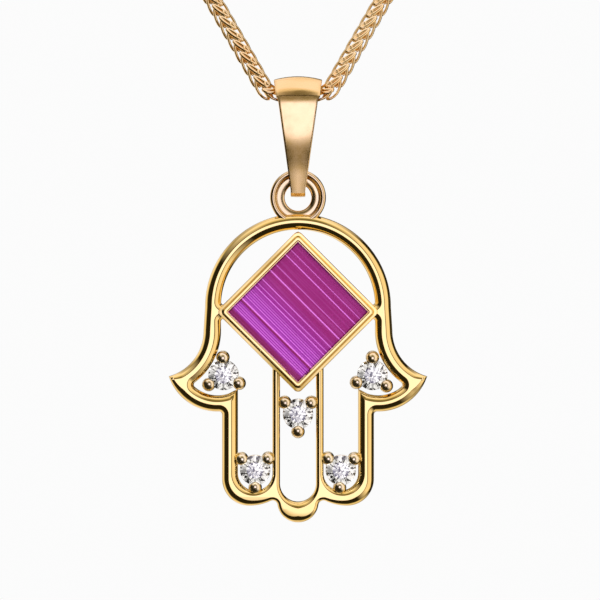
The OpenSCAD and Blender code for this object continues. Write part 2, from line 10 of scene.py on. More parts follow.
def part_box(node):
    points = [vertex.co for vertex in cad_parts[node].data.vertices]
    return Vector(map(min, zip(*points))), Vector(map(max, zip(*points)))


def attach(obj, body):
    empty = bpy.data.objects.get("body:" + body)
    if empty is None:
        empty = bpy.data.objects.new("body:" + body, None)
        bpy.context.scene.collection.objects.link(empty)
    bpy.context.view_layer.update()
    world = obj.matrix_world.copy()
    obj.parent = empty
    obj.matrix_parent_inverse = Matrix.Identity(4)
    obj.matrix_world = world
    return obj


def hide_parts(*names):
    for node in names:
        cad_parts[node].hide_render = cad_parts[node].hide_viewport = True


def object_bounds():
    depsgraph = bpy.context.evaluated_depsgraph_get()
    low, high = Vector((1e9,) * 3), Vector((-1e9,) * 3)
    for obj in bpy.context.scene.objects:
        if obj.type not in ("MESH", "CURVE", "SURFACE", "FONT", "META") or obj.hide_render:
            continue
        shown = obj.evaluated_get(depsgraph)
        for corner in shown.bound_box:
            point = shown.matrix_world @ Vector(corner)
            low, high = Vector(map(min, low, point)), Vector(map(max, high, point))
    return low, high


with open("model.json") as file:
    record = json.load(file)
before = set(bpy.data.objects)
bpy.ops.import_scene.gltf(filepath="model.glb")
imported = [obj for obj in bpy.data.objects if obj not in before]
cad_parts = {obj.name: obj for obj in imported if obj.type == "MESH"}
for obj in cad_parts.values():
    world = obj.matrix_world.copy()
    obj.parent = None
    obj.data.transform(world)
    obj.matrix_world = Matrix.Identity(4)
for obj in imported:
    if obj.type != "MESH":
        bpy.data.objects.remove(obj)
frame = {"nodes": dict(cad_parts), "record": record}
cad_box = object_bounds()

# Lengths are in millimetres, except where a comment says metres.
MM = 0.001
ROOT2 = math.sqrt(2)
JOINTS = {j["name"]: j for j in frame["record"]["behaviour"]["joints"]}
HANG = Vector(JOINTS["bail_swing"]["pos_m"]) / MM


# Helpers

# Points closer than this, in metres, become one.
SAME_PLACE = 1e-8
# Weighted normals follow the largest faces.
NORMAL_WEIGHT = 100


def lookup(x, table):
    """Straight-line interpolation in a table of (x, value) rows."""
    if x <= table[0][0]:
        return table[0][1]
    for (x0, v0), (x1, v1) in zip(table, table[1:]):
        if x <= x1:
            return v0 + (v1 - v0) * (x - x0) / (x1 - x0)
    return table[-1][1]


class Shape:
    """Collects the points and faces of one piece."""

    def __init__(self):
        self.verts, self.faces = [], []

    def add(self, verts, faces):
        """Adds points, and faces that count these points from 0."""
        start = len(self.verts)
        self.verts += [Vector(v) for v in verts]
        self.faces += [tuple(i + start for i in f) for f in faces]

    def add_rings(self, rings, closed=False, capped=False):
        """Adds a skin over a row of rings. Its last ring can join the first, or both ends get a cap."""
        count, size = len(rings), len(rings[0])
        faces = []
        for i in range(count if closed else count - 1):
            here, there = i * size, (i + 1) % count * size
            for k in range(size):
                m = (k + 1) % size
                faces.append((here + k, here + m, there + m, there + k))
        if capped:
            faces.append(tuple(range(size)))
            faces.append(tuple((count - 1) * size + k for k in range(size)))
        self.add([v for ring in rings for v in ring], faces)


def make_object(name, shape, material, body, sharp=40.0, weighted=False):
    """A smooth object that rides on a body. Edges bent by more than sharp degrees stay hard."""
    mesh = bpy.data.meshes.new(name)
    mesh.from_pydata([tuple(c * MM for c in v) for v in shape.verts], [], shape.faces)
    bm = bmesh.new()
    bm.from_mesh(mesh)
    bmesh.ops.remove_doubles(bm, verts=bm.verts, dist=SAME_PLACE)
    bmesh.ops.recalc_face_normals(bm, faces=bm.faces)
    for face in bm.faces:
        face.smooth = True
    for edge in bm.edges:
        if len(edge.link_faces) == 2 and edge.calc_face_angle(0.0) > math.radians(sharp):
            edge.smooth = False
    bm.to_mesh(mesh)
    bm.free()
    obj = bpy.data.objects.new(name, mesh)
    bpy.context.scene.collection.objects.link(obj)
    obj.data.materials.append(material)
    if weighted:
        mod = obj.modifiers.new("normals", "WEIGHTED_NORMAL")
        mod.keep_sharp = True
        mod.weight = NORMAL_WEIGHT
    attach(obj, body)
    return obj


# Materials

class NodeTree:
    """The shader nodes of a material or world, with short ways to add and join them."""

    def __init__(self, owner):
        owner.use_nodes = True
        self.nodes = owner.node_tree.nodes
        self.links = owner.node_tree.links

    def put(self, value, socket):
        """Links an input to another node's output, or sets it to a plain value."""
        if isinstance(value, bpy.types.NodeSocket):
            self.links.new(value, socket)
        else:
            socket.default_value = value

    def coordinates(self, kind):
        """Texture coordinates of a kind, such as Object."""
        return self.nodes.new("ShaderNodeTexCoord").outputs[kind]

    def parts(self, vector):
        """The X, Y and Z of a vector."""
        node = self.nodes.new("ShaderNodeSeparateXYZ")
        self.put(vector, node.inputs["Vector"])
        return [node.outputs[axis] for axis in "XYZ"]

    def vector(self, x, y=0.0):
        """A vector from its X and Y, with 0 as its Z."""
        node = self.nodes.new("ShaderNodeCombineXYZ")
        self.put(x, node.inputs["X"])
        self.put(y, node.inputs["Y"])
        return node.outputs["Vector"]

    def noise(self, scale, detail=2.0, coords=None):
        """Soft noise from 0 to 1, in the object's own coordinates where none are given."""
        node = self.nodes.new("ShaderNodeTexNoise")
        self.put(scale, node.inputs["Scale"])
        self.put(detail, node.inputs["Detail"])
        self.put(self.coordinates("Object") if coords is None else coords, node.inputs["Vector"])
        return node.outputs["Fac"]

    def remap(self, value, low, high, in_low=0.3, in_high=0.7):
        """A value spread from the range in_low to in_high over the range low to high, and held there."""
        node = self.nodes.new("ShaderNodeMapRange")
        self.put(value, node.inputs["Value"])
        self.put(in_low, node.inputs["From Min"])
        self.put(in_high, node.inputs["From Max"])
        self.put(low, node.inputs["To Min"])
        self.put(high, node.inputs["To Max"])
        return node.outputs["Result"]

    def calc(self, kind, a, b=None):
        """Result of one sum, such as ADD, of one or two values."""
        node = self.nodes.new("ShaderNodeMath")
        node.operation = kind
        self.put(a, node.inputs[0])
        if b is not None:
            self.put(b, node.inputs[1])
        return node.outputs["Value"]

    def blend(self, factor, a, b):
        """Colour between colour a (factor 0) and colour b (factor 1)."""
        node = self.nodes.new("ShaderNodeMix")
        node.data_type = "RGBA"
        for value, socket in ((factor, "Factor"), (a, "A"), (b, "B")):
            self.put(value, node.inputs[socket])
        return node.outputs["Result"]

    def bump(self, height, distance, strength=1.0, below=None):
        """Normal of a surface raised by height times a distance in metres, on top of the normal below."""
        node = self.nodes.new("ShaderNodeBump")
        self.put(strength, node.inputs["Strength"])
        self.put(distance, node.inputs["Distance"])
        self.put(height, node.inputs["Height"])
        if below is not None:
            self.put(below, node.inputs["Normal"])
        return node.outputs["Normal"]


def new_material(name):
    """A new material, its tree and its shader node."""
    mat = bpy.data.materials.new(name)
    tree = NodeTree(mat)
    return mat, tree, tree.nodes["Principled BSDF"]


# Noise scales of the gold, in patches per metre, and the height of its grain in metres.
TINT_SCALE = 380.0
MARK_SCALE = 2600.0
GRAIN_SCALE = 900.0
WAVE_SCALE = 260.0
GRAIN_HEIGHT = 0.00002
# Roughness between and on the polishing marks, as shares of the mean.
MARK_LOW, MARK_HIGH = 0.8, 1.3


def gold(name, pale, deep, rough, grain, wave=0.0):
    """Polished gold of uneven colour, with faint polishing marks and soft waves (height in metres)."""
    mat, tree, shader = new_material(name)
    shader.inputs["Metallic"].default_value = 1.0
    tint = tree.remap(tree.noise(TINT_SCALE), 0.0, 1.0)
    tree.put(tree.blend(tint, (*pale, 1), (*deep, 1)), shader.inputs["Base Color"])
    marks = tree.noise(MARK_SCALE, 4.0)
    tree.put(tree.remap(marks, rough * MARK_LOW, rough * MARK_HIGH), shader.inputs["Roughness"])
    waves = tree.bump(tree.noise(WAVE_SCALE, 0.0), wave) if wave else None
    normal = tree.bump(tree.noise(GRAIN_SCALE, 3.0), GRAIN_HEIGHT, grain, waves)
    tree.put(normal, shader.inputs["Normal"])
    return mat


GOLD = gold("gold_polished", (1.0, 0.78, 0.31), (0.97, 0.72, 0.25), rough=0.04, grain=0.03, wave=0.0001)
BAIL_GOLD = gold("gold_bail", (1.0, 0.75, 0.36), (0.98, 0.68, 0.30), rough=0.16, grain=0.02)
EYE_GOLD = gold("gold_eye", (0.95, 0.74, 0.42), (0.84, 0.64, 0.34), rough=0.14, grain=0.03)
PRONG_GOLD = gold("gold_prongs", (1.0, 0.90, 0.62), (0.98, 0.82, 0.50), rough=0.18, grain=0.04)
CHAIN_GOLD = gold("gold_chain", (1.0, 0.80, 0.44), (1.0, 0.71, 0.34), rough=0.08, grain=0.03)


# Flat shapes of the hand, with x to the right and y up from the middle of the arch

def arc(c, r, a0, a1, n):
    """Arc round c of radius r, from angle a0 to a1 in degrees, in n steps."""
    angles = [math.radians(a0 + (a1 - a0) * i / n) for i in range(n + 1)]
    return [Vector((c[0] + r * math.cos(a), c[1] + r * math.sin(a))) for a in angles]


def angle_of(v):
    """Angle of a direction, from -180 to 180 degrees."""
    return math.degrees(math.atan2(v[1], v[0]))


def turn(v):
    """Angle of a direction, from 0 to 360 degrees."""
    return angle_of(v) % 360


def meet(c1, r1, c2, r2, side):
    """Where two circles meet, left (side 1) or right (side -1) of the way from c1 to c2."""
    d = (c2 - c1).length
    u = (c2 - c1) / d
    a = (r1 * r1 - r2 * r2 + d * d) / (2 * d)
    h = math.sqrt(r1 * r1 - a * a)
    return c1 + a * u + side * h * Vector((-u[1], u[0]))


def flip(pts):
    """The mirror image of a line from left to right, drawn the same way round."""
    return [Vector((-p[0], p[1])) for p in reversed(pts)]


def distinct(pts, gap=0.002):
    """A closed line without the points that lie on the next one."""
    return [p for i, p in enumerate(pts) if (p - pts[(i + 1) % len(pts)]).length > gap]


def shifted(pts, by):
    """Each point of a closed line moved to the left of its way round."""
    out = []
    n = len(pts)
    for i, p in enumerate(pts):
        before = (p - pts[i - 1]).normalized()
        after = (pts[(i + 1) % n] - p).normalized()
        n1 = Vector((-before[1], before[0]))
        n2 = Vector((-after[1], after[0]))
        out.append(p + by[i] * (n1 + n2) / (1 + n1.dot(n2)))
    return out


# A half-round arch of band runs down to the waist, out round the thumbs, back round the heels of the palm
# and down to the fingers. Its width, thickness and the places of the sides are the driving sizes.
ARCH_R = 4.65
BAND = 0.79
HAND_T = 1.0
FRONT = HAND_T / 2
WAIST_DROP = 1.19
WAIST_OUT = 0.075
THUMB_R = 2.38
HEEL_R = 2.56
HEEL = Vector((-4.03, -2.69))
FINGER_X = 3.8
FINGER_DROP = 9.96
FINGER_R = 1.35
TIP_R = 2.5
MID_REACH = 0.84
MID_R = 1.03
# Two bars at the sides of the middle finger.
BAR_W = 0.38
BAR_IN = 0.9
# Gold below the windows of the outer fingers and of the middle finger.
TIP_FOOT = 0.755
MID_FOOT = 1.04
# The band is a little wider than elsewhere along the thumb and the heel.
THUMB_BAND_MORE = 0.08
HEEL_BAND_MORE = 0.02
# Fillets of the corners outside and inside, and a straight start below the heel's corner.
NOTCH_R = 0.25
HEEL_FILLET = 0.15
POCKET_FILLET = 0.14
CORNER_FILLET = 0.13
CORNER_STRAIGHT = 0.6
# The box of the panel stands on one corner. The windows reach a little under it.
SQUARE_Y = -0.26
PANEL_W = 4.98
PANEL_GAP = 0.02
WALL_W = 0.39
FLOOR_T = 0.35
COVER = 0.05

MID_LOW = -FINGER_DROP - MID_REACH
BAR_OUT = BAR_IN + BAR_W
FINGER_IN = FINGER_X - BAND
SIDE_X = ARCH_R - BAND
SQUARE_HALF = PANEL_W / 2 + PANEL_GAP + WALL_W
WINDOW_HALF = SQUARE_HALF - COVER


def below_heel(x, r):
    """Point at x on the lower side of a circle of radius r round the heel's middle."""
    return Vector((x, HEEL[1] - math.sqrt(r ** 2 - (x - HEEL[0]) ** 2)))


waist = Vector((-ARCH_R - WAIST_OUT, -WAIST_DROP))
thumb_c = waist - Vector((THUMB_R, 0))
thumb_tip = meet(thumb_c, THUMB_R, HEEL, HEEL_R, -1)
finger_c = Vector((-FINGER_X + FINGER_R, -FINGER_DROP + FINGER_R))
tip_c = Vector((-FINGER_X + FINGER_R, -FINGER_DROP + TIP_R))
mid_c = Vector((0, MID_LOW + MID_R))
heel_fillet_c = below_heel(-FINGER_X - HEEL_FILLET, HEEL_R + HEEL_FILLET)
notch_c = meet(tip_c, TIP_R + NOTCH_R, mid_c, MID_R + NOTCH_R, -1)
half_outline = (
    arc((0, 0), ARCH_R, 90, 180, 70)
    + arc(thumb_c, THUMB_R, 0, angle_of(thumb_tip - thumb_c), 30)
    + arc(HEEL, HEEL_R, turn(thumb_tip - HEEL), turn(heel_fillet_c - HEEL), 30)
    + arc(heel_fillet_c, HEEL_FILLET, angle_of(HEEL - heel_fillet_c), 0, 6)
    + arc(finger_c, FINGER_R, 180, 270, 24)[:-1]
    + arc(tip_c, TIP_R, 270, turn(notch_c - tip_c), 10)
    + arc(notch_c, NOTCH_R, angle_of(tip_c - notch_c), angle_of(mid_c - notch_c), 10)
    + arc(mid_c, MID_R, turn(notch_c - mid_c), 270, 16))
hand_outline = distinct(half_outline + flip(half_outline))


def upper_fillet(r, f):
    """Middle of the fillet of radius f between the arch's inside, of radius r, and the box's upper left."""
    k = SQUARE_Y + ROOT2 * (WINDOW_HALF + f)
    x = (-k - math.sqrt(2 * (r - f) ** 2 - k * k)) / 2
    return Vector((x, k + x))


upper_c = upper_fillet(SIDE_X, CORNER_FILLET)
half_upper = (
    arc((0, 0), SIDE_X, 90, turn(upper_c), 60)
    + arc(upper_c, CORNER_FILLET, turn(upper_c), 315, 12)
    + [Vector((0, SQUARE_Y + ROOT2 * WINDOW_HALF))])
upper_window = distinct(half_upper + flip(half_upper))

inner_thumb_r = THUMB_R + BAND + THUMB_BAND_MORE
inner_heel_r = HEEL_R - BAND - HEEL_BAND_MORE
pocket_c = meet(thumb_c, inner_thumb_r + POCKET_FILLET, HEEL, inner_heel_r - POCKET_FILLET, -1)
finger_corner = below_heel(-FINGER_IN, inner_heel_r)
end_r = (FINGER_IN - BAR_OUT) / 2
end_c = Vector((-FINGER_IN + end_r, -FINGER_DROP + TIP_FOOT + end_r))
box_side_y = SQUARE_Y - ROOT2 * (WINDOW_HALF + CORNER_FILLET)
palm_c = Vector((-SIDE_X + CORNER_FILLET, box_side_y + SIDE_X - CORNER_FILLET))
bar_top_c = Vector((-BAR_OUT - CORNER_FILLET, box_side_y + BAR_OUT + CORNER_FILLET))
# The last steps before the corner are left out, because their edge would cross the corner's.
CROSSING_STEPS = 6
heel_arc = arc(HEEL, inner_heel_r, turn(pocket_c - HEEL), turn(finger_corner - HEEL), 26)
heel_arc = heel_arc[:-CROSSING_STEPS] + heel_arc[-1:]
palm_window = distinct(
    arc(palm_c, CORNER_FILLET, 45, 180, 12)
    + arc(thumb_c, inner_thumb_r, 0, angle_of(pocket_c - thumb_c), 26)
    + arc(pocket_c, POCKET_FILLET, angle_of(thumb_c - pocket_c), turn(pocket_c - HEEL), 12)
    + heel_arc + [Vector((-FINGER_IN, finger_corner[1] - CORNER_STRAIGHT))]
    + arc(end_c, end_r, 180, 360, 40)
    + arc(bar_top_c, CORNER_FILLET, 0, 45, 6))

mid_end_c = Vector((0, MID_LOW + MID_FOOT + BAR_IN))
mid_top = SQUARE_Y - ROOT2 * SQUARE_HALF + BAR_IN + COVER
middle_window = (
    [Vector((0, mid_top)), Vector((-BAR_IN, mid_top))]
    + arc(mid_end_c, BAR_IN, 180, 360, 40)
    + [Vector((BAR_IN, mid_top))])


# Where the hand hangs: the bail's foot passes through the eye above the arch

CHAIN_R = 0.435
CHAIN_GAP = 0.05
BAIL_H = 6.05
CREST_WALL = 0.39
FOOT_WALL = 0.5
FOOT_W = 0.72
EYE_R = 1.4
EYE_HOLE_R = 0.67
EYE_SINK = 0.58
EYE_PLAY = 0.05
FOOT_IN = CHAIN_R + CHAIN_GAP + CREST_WALL - BAIL_H + FOOT_WALL
EYE_Z = FOOT_IN + EYE_PLAY - math.sqrt(EYE_HOLE_R ** 2 - (FOOT_W / 2) ** 2)
ARCH_Z = EYE_Z - EYE_R - ARCH_R + EYE_SINK


def placed(x, y, z):
    """From the hand's own axes (right, up, towards the viewer) to the frame, in millimetres."""
    return Vector((HANG[0] + x, HANG[1] - z, HANG[2] + ARCH_Z + y))


# Plate of the hand

BACK_BEVEL = 0.07
BACK_STEPS = 3
EDGE_R = 0.34
BAR_EDGE_R = 0.17
TIP_EASE = 0.5
# Width of the rounded front edge by distance from the middle: small on the bars, eased at the thumbs' tips.
EDGES = [(0, EDGE_R), (BAR_IN, BAR_EDGE_R), (BAR_OUT, BAR_EDGE_R), (FINGER_IN, EDGE_R),
         (-thumb_tip[0] - TIP_EASE, EDGE_R), (-thumb_tip[0], EDGE_R / 2)]
# Rounded front edge from the flat top outwards: share of the edge's width, and slope in degrees.
EDGE = [(0.03, 9), (0.09, 15), (0.14, 19), (0.14, 23), (0.12, 28), (0.08, 35), (0.06, 45), (0.09, 56),
        (0.12, 66), (0.09, 75), (0.04, 83)]


def edge_width(p):
    """Width of the rounded front edge at a point. Above the arch's middle only the tips' rows count."""
    x = abs(p[0])
    return lookup(x, EDGES[-2:] if p[1] > 0 else EDGES)


def edge_rows():
    """Rows from the wall to the flat top: inset from the wall and drop from the top, as shares."""
    rows = [(1.0, 0.0)]
    for share, slope in EDGE:
        inset, drop = rows[-1]
        rows.append((max(inset - share, 0.0), drop + share * math.tan(math.radians(slope))))
    return rows[::-1]


def plate_rings(line, way):
    """Rings along a closed line from the flat back over the wall to the flat front, inset by way 1 or -1."""
    rings = []
    for j in range(BACK_STEPS + 1):
        a = math.pi / 2 * j / BACK_STEPS
        ring = shifted(line, [way * BACK_BEVEL * (1 - math.sin(a))] * len(line))
        rings.append([placed(p[0], p[1], -FRONT + BACK_BEVEL * (1 - math.cos(a))) for p in ring])
    widths = [edge_width(p) for p in line]
    for inset, drop in edge_rows():
        ring = shifted(line, [way * inset * width for width in widths])
        rings.append([placed(p[0], p[1], FRONT - width * drop) for p, width in zip(ring, widths)])
    return rings


def hand_plate():
    """The hand without its eye, box and prongs."""
    shape = Shape()
    windows = [upper_window, palm_window, flip(palm_window), middle_window]
    skins = [plate_rings(hand_outline, 1)] + [plate_rings(line, -1) for line in windows]
    for rings in skins:
        shape.add_rings(rings)
    for end in (-1, 0):
        lines = [rings[end] for rings in skins]
        flat = [[Vector((v[0], v[2], 0)) for v in line] for line in lines]
        shape.add([v for line in lines for v in line], tessellate_polygon(flat))
    return shape


hand = make_object("hand_gold", hand_plate(), GOLD, "hamsa", weighted=True)
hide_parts("hand_frame")


# Eye at the top of the hand

EYE_RIM_W = 0.3
# The rim's round front has a point at every so many degrees.
RIM_STEP = 15
EYE_T = 0.9
EYE_Y = ARCH_R + EYE_R - EYE_SINK
EYE_SIDES = 128
# A narrow groove inside the rim: inset from the rim, and drop below the middle of its round.
GROOVE = [(0.0, 0.04), (0.02, 0.10), (0.05, 0.115)]
# The edge of the hole: distance from the hole, and the same drop.
HOLE_EDGE = [(0.07, 0.15), (0.03, 0.17), (0.0, 0.21)]
# A shallow dish joins the two, raised a little in its middle.
DISH_STEPS = 6
DISH_RISE = 0.014


def lathe(profile, sides, middle):
    """Rings of a body turned from a closed profile of (radius, height towards the viewer)."""
    rings = []
    for k in range(sides):
        c, s = math.cos(2 * math.pi * k / sides), math.sin(2 * math.pi * k / sides)
        rings.append([placed(middle[0] + r * c, middle[1] + r * s, h) for r, h in profile])
    return rings


def eye_profile():
    """Cross-section of the eye's ring."""
    r = EYE_RIM_W / 2
    rim_c = EYE_R - r
    rim_z = EYE_T / 2 - r
    front = [(rim_c + r * math.cos(math.radians(a)), rim_z + r * math.sin(math.radians(a)))
             for a in range(0, 181, RIM_STEP)]
    front += [(rim_c - r - inset, rim_z - drop) for inset, drop in GROOVE]
    edge = [(EYE_HOLE_R + out, rim_z - drop) for out, drop in HOLE_EDGE]
    start, end = front[-1], edge[0]
    for k in range(1, DISH_STEPS + 1):
        t = k / DISH_STEPS
        rise = DISH_RISE * math.sin(math.pi * t)
        front.append((start[0] + (end[0] - start[0]) * t, start[1] + (end[1] - start[1]) * t + rise))
    front += edge[1:]
    return front + [(radius, -height) for radius, height in reversed(front)]


def eye_ring():
    """The eye's ring."""
    shape = Shape()
    shape.add_rings(lathe(eye_profile(), EYE_SIDES, (0, EYE_Y)), closed=True)
    return shape


eye = make_object("eye_ring", eye_ring(), EYE_GOLD, "hamsa", sharp=50, weighted=True)
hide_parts("hand_frame")


# Square box of the panel

RIM_W = 0.2
RIM_H = 0.3
CAVITY = PANEL_W / 2 + PANEL_GAP
RIDGE = CAVITY + RIM_W / 2
RIDGE_TOP = FRONT + RIM_H
STEP_H = 0.05
STEP_TOP = FRONT + STEP_H
CORNER_R = 0.26
CORNER_STEPS = 6
# Radius of the corners on the ridge, from its foot outside to the cavity inside.
RIDGE_FOOT_R, RIDGE_OUT_R, RIDGE_TOP_R, RIDGE_IN_R, CAVITY_R = 0.18, 0.16, 0.14, 0.10, 0.04
# The ridge rolls over on both sides of its top: middle of the rolls, their half width and their height.
ROLL_PLACE, ROLL_W, ROLL_H = 0.045, 0.04, 0.042
CAVITY_EASE = 0.13
# Edge of the back: inset from the box's half width, and height above the hand's back.
BOX_BACK = [(0.06, -0.03), (0.02, -0.012), (0.0, 0.03)]
# Chamfer and step in front: inset from the half width, radius of the corners, and height above the step.
BOX_STEP = [(0.0, CORNER_R, -0.08), (0.035, CORNER_R, 0.0), (0.14, 0.22, 0.012)]


def rounded_square(half, r):
    """Points of a square of a half width, with corners of radius r."""
    pts = []
    for k, (sx, sy) in enumerate(((1, 1), (-1, 1), (-1, -1), (1, -1))):
        for i in range(CORNER_STEPS + 1):
            a = math.radians(90 * k + 90 * i / CORNER_STEPS)
            pts.append(((half - r) * sx + r * math.cos(a), (half - r) * sy + r * math.sin(a)))
    return pts


def in_square(x, y, z):
    """From the axes of the square, which stands on a corner, to the frame."""
    c = math.sqrt(0.5)
    return placed(c * (x - y), SQUARE_Y + c * (x + y), z)


def roll(middle, radius, angles):
    """Rows of one rolled side of the ridge, as half width, radius of the corners and height."""
    return [(middle + ROLL_W * math.cos(math.radians(a)), radius,
             RIDGE_TOP - ROLL_PLACE + ROLL_H * math.sin(math.radians(a))) for a in angles]


def square_box():
    """Box of the panel, from the middle of its back over its wall, step and ridge to the floor inside."""
    rows = [(SQUARE_HALF - inset, CORNER_R, -FRONT + height) for inset, height in BOX_BACK]
    rows += [(SQUARE_HALF - inset, radius, STEP_TOP + height) for inset, radius, height in BOX_STEP]
    rows += roll(RIDGE + ROLL_PLACE, RIDGE_FOOT_R, (0,))
    rows += roll(RIDGE + ROLL_PLACE, RIDGE_OUT_R, (25, 50, 70, 85))
    rows += [(RIDGE, RIDGE_TOP_R, RIDGE_TOP)]
    rows += roll(RIDGE - ROLL_PLACE, RIDGE_IN_R, (95, 110, 130, 155, 180))
    rows += [(CAVITY, CAVITY_R, RIDGE_TOP - CAVITY_EASE), (CAVITY, CAVITY_R, -FRONT + FLOOR_T)]
    shape = Shape()
    rings = [[in_square(x, y, z) for x, y in rounded_square(half, radius)] for half, radius, z in rows]
    shape.add_rings(rings, capped=True)
    return shape


square = make_object("panel_box", square_box(), GOLD, "hamsa", sharp=35, weighted=True)
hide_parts("hand_frame")


# Prongs and galleries of the stones

STONE_R = 0.76
STONE_RISE = 0.1
CROWN_SHARE = 0.3
GIRDLE_Z = FRONT + STONE_RISE - CROWN_SHARE * STONE_R
PRONG_RING = 0.885
PRONG_R = 0.29
PRONG_SIDES = 28
GALLERY_SIDES = 64
WAIST_INSET = 0.01
WAIST_R = PRONG_R - WAIST_INSET
# A prong's waist starts this far above the hand's back and ends this far below the girdle.
WAIST_START, WAIST_END = 0.26, 0.1
# The head is a flattened dome on a short neck, and leans over the stone by a share of its height.
HEAD_NECK = 0.07
HEAD_SHARE = 0.72
HEAD_LEAN = 0.16
HEAD_STEP = 10
# Foot of a prong: radius, and height above the hand's back.
FOOT_R = 0.34
PRONG_FOOT = [(0.0, 0.03), (FOOT_R - 0.03, 0.03), (FOOT_R, 0.06), (FOOT_R, 0.18)]
# Gallery under a stone, as a closed profile: radius, and height above the hand's back.
GALLERY_IN = 0.5 * STONE_R
GALLERY = [(GALLERY_IN, 0.045), (STONE_R - 0.02, 0.045), (STONE_R, 0.06), (STONE_R, 0.41),
           (STONE_R - 0.03, 0.43), (GALLERY_IN + 0.06, 0.37), (GALLERY_IN, 0.3)]
TIP_RISE = 0.16
TIP_X = (FINGER_IN + BAR_OUT) / 2
TIP_Y = end_c[1] + TIP_RISE
# Middle of each stone, and the directions of its three prongs in degrees.
SETTINGS = [((-3.73, -3.42), (92, 213, 332)), ((3.73, -3.42), (90, 205, 322)), ((0, -5.37), (139, 41, 270)),
            ((-TIP_X, TIP_Y), (140, 42, 270)), ((TIP_X, TIP_Y), (138, 40, 266))]


def prong_profile():
    """Prong from its foot to its round head, as (radius, height)."""
    rows = [(r, -FRONT + height) for r, height in PRONG_FOOT]
    rows += [(WAIST_R, -FRONT + WAIST_START), (WAIST_R, GIRDLE_Z - WAIST_END), (PRONG_R, GIRDLE_Z)]
    for degrees in range(0, 90, HEAD_STEP):
        a = math.radians(degrees)
        rows.append((PRONG_R * math.cos(a), GIRDLE_Z + HEAD_NECK + HEAD_SHARE * PRONG_R * math.sin(a)))
    rows.append((0.0, GIRDLE_Z + HEAD_NECK + HEAD_SHARE * PRONG_R))
    return rows


def prong(middle, direction):
    """Rings of a prong beside a stone. Its head leans over the stone's edge."""
    a = math.radians(direction)
    x, y = middle[0] + PRONG_RING * math.cos(a), middle[1] + PRONG_RING * math.sin(a)
    rings = []
    for r, h in prong_profile():
        lean = HEAD_LEAN * max(h - GIRDLE_Z, 0.0)
        lean_x, lean_y = lean * math.cos(a), lean * math.sin(a)
        sides = [2 * math.pi * k / PRONG_SIDES for k in range(PRONG_SIDES)]
        rings.append([placed(x + r * math.cos(b) - lean_x, y + r * math.sin(b) - lean_y, h) for b in sides])
    return rings


def settings():
    """Three prongs and a gallery for every stone."""
    shape = Shape()
    for middle, directions in SETTINGS:
        for direction in directions:
            shape.add_rings(prong(middle, direction))
        gallery = [(r, -FRONT + height) for r, height in GALLERY]
        shape.add_rings(lathe(gallery, GALLERY_SIDES, middle), closed=True)
    return shape


prongs = make_object("prongs", settings(), PRONG_GOLD, "hamsa", sharp=45)
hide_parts("hand_frame")


# Bail: a folded strip, broad over the chain and narrow at its foot in the eye

TOP_R, LOW_R = 0.8, 0.66
TOP_W = 2.42
CREST_Z = CHAIN_R + CHAIN_GAP
TOP_Z = CREST_Z - TOP_R
LOW_Z = FOOT_IN + LOW_R
CREASE_RISE, CREASE_STEP = 0.15, 0.012
CREASE_Z = TOP_Z + CREASE_RISE
CREASE_END = CREASE_Z - CREASE_STEP
# Widths by the height of the outside; thicknesses and crowns by that of the inside.
BAIL_WIDTHS = [(FOOT_IN - 0.2, 0.73), (CREASE_END, 2.04), (CREASE_Z, 2.2), (CREST_Z + CREST_WALL, TOP_W)]
BAIL_WALLS = [(FOOT_IN, FOOT_WALL), (LOW_Z + 0.3, 0.32), (CREASE_END, 0.32), (CREASE_Z, CREST_WALL),
              (CREST_Z, CREST_WALL)]
BAIL_CROWNS = [(FOOT_IN, 0.02), (LOW_Z, 0.02), (CREASE_END, 0.03), (CREASE_Z, 0.12), (CREST_Z, 0.17)]
# Tilt of the strip's front in degrees, positive where it faces down, by share of the way to the foot.
BAIL_TILTS = [(0, -13), (0.06, -9), (0.14, 1), (0.42, 3), (0.66, 8.3), (0.84, 8.6), (1, 6.5)]
STRIP_STEPS = 24
# Arcs of the cap and the foot, in degrees.
ARC_STEP = 5
CAP_END = 15
# Outside of the foot by angle, square with a broad chamfer: share of its depth, and of its way down.
FOOT_DEPTHS = [(0, 1.0), (60, 1.0), (75, 0.70), (90, 0.0)]
FOOT_FALLS = [(0, 0.0), (60, 0.84), (75, 0.97), (90, 1.0)]
# Half of the strip's outside from the edge to the middle: share of its half width, and drop of the edge.
HALF_ACROSS = [(1.0, 0.035), (0.985, 0.008), (0.95, 0.0), (0.85, 0.0), (0.7, 0.0), (0.45, 0.0), (0.2, 0.0),
               (0.0, 0.0)]
ACROSS = HALF_ACROSS + [(-x, drop) for x, drop in reversed(HALF_ACROSS[:-1])]
INNER_INSET = 0.03


